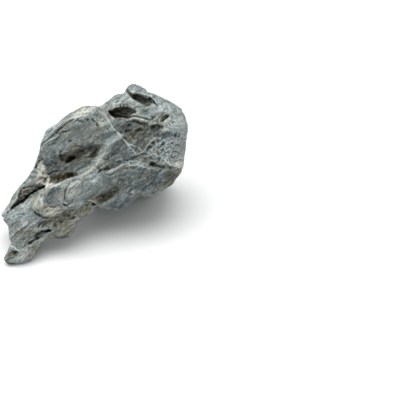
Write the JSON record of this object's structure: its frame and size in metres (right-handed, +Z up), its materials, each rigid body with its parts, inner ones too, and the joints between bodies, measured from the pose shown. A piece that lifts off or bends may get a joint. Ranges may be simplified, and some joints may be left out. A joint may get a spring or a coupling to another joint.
{
  "type": "seiryu stone",
  "caption": "Craggy leaning lump of blue-grey limestone with ledges, pits and white veins, standing on a forefoot and heels.",
  "frame": {"origin": "on the ground, under the middle of the stone's bounding box", "axes": "+Z up, broad pitted face towards -Y and leaning back, forefoot towards -X and -Y"},
  "size_m": [0.1892, 0.1706, 0.1332],
  "materials": {
    "stone": "rough weathered blue-grey limestone with white calcite veins and brown hollows"
  },
  "bodies": {
    "root": {"seiryu_stone": "stone"}
  },
  "joints": []
}
